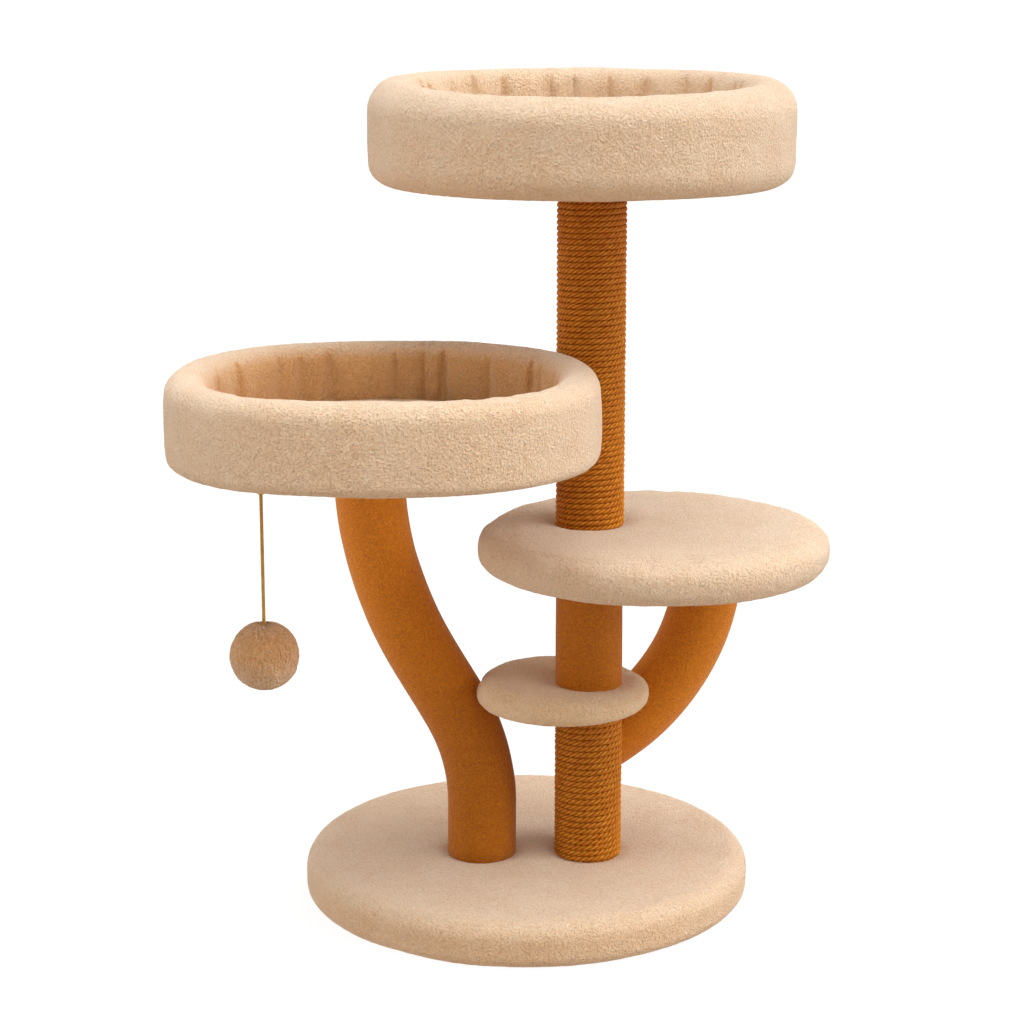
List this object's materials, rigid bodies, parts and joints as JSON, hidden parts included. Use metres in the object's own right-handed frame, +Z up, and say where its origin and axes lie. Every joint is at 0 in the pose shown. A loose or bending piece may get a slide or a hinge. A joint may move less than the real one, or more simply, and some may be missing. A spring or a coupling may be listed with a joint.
{
  "type": "cat tree",
  "caption": "Free-standing cat tree: round base, roped trunk, bent post and branch, step, platform, two bolster beds and a hanging plush ball.",
  "frame": {"origin": "centre of the round base, on the floor", "axes": "+Z up; -Y is the front, which the step and the left bed face; +X is the viewer's right"},
  "size_m": [0.697, 0.66, 0.915],
  "materials": {
    "plush": "short pile",
    "plush_light": "short pile",
    "felt": "felted",
    "sisal": "twisted rope",
    "board": "raw chipboard",
    "plug_wood": "turned softwood",
    "paper_tube": "wound paperboard",
    "liner": "needle felt",
    "zinc_steel": "zinc plated",
    "string": "twisted cord",
    "ball_plush": "short pile",
    "ball_foam": "moulded foam"
  },
  "bodies": {
    "stand": {"base_liner": "liner", "base_board_lower": "board", "base_board_upper": "board", "base_cover": "plush_light", "base_bolts": "zinc_steel", "base_washers": "zinc_steel", "trunk_lower_tube": "paper_tube", "trunk_lower_rope": "sisal", "trunk_mid_tube": "paper_tube", "trunk_mid_sleeve": "felt", "trunk_upper_tube": "paper_tube", "trunk_upper_rope": "sisal", "trunk_plugs": "plug_wood", "trunk_inserts": "zinc_steel", "trunk_studs": "zinc_steel", "trunk_anchor_block": "plug_wood", "step_board": "board", "step_cover": "plush", "platform_board": "board", "platform_cover": "plush_light", "left_post_tube_lower": "paper_tube", "left_post_tube_upper": "paper_tube", "left_post_sleeve_lower": "felt", "left_post_sleeve_upper": "felt", "left_post_dowel": "plug_wood", "left_post_plugs": "plug_wood", "left_post_inserts": "zinc_steel", "branch_tube": "paper_tube", "branch_sleeve": "felt", "branch_plugs": "plug_wood", "branch_end_cap": "felt", "branch_insert": "zinc_steel", "branch_top_bolt": "zinc_steel", "branch_cross_bolts": "zinc_steel", "branch_washers": "zinc_steel", "left_bed_board": "board", "left_bed_underside": "plush", "left_bed_bolster": "plush_light", "left_bed_lining": "plush", "left_bed_bolt": "zinc_steel", "left_bed_washer": "zinc_steel", "top_bed_board": "board", "top_bed_underside": "plush", "top_bed_bolster": "plush_light", "top_bed_lining": "plush", "top_bed_bolt": "zinc_steel", "top_bed_washer": "zinc_steel", "toy_eye": "zinc_steel"},
    "left_cushion": {"left_bed_cushion": "plush"},
    "top_cushion": {"top_bed_cushion": "plush"},
    "toy_link": {"toy_ring": "zinc_steel"},
    "toy": {"toy_loop": "string", "toy_string": "string", "toy_ball_core": "ball_foam", "toy_ball_cover": "ball_plush", "toy_knot": "string"}
  },
  "joints": [
    {"name": "left_cushion_lift", "type": "slide", "parent": "stand", "child": "left_cushion", "axis": [0, 0, 1], "range_m": [0, 0.12]},
    {"name": "top_cushion_lift", "type": "slide", "parent": "stand", "child": "top_cushion", "axis": [0, 0, 1], "range_m": [0, 0.15]},
    {"name": "toy_back_front", "type": "hinge", "parent": "stand", "child": "toy_link", "pos_m": [-0.264, -0.275, 0.526], "axis": [1, 0, 0], "range_deg": [-40, 40]},
    {"name": "toy_side_side", "type": "hinge", "parent": "toy_link", "child": "toy", "pos_m": [-0.264, -0.275, 0.5184], "axis": [0, 1, 0], "range_deg": [-40, 40]}
  ]
}
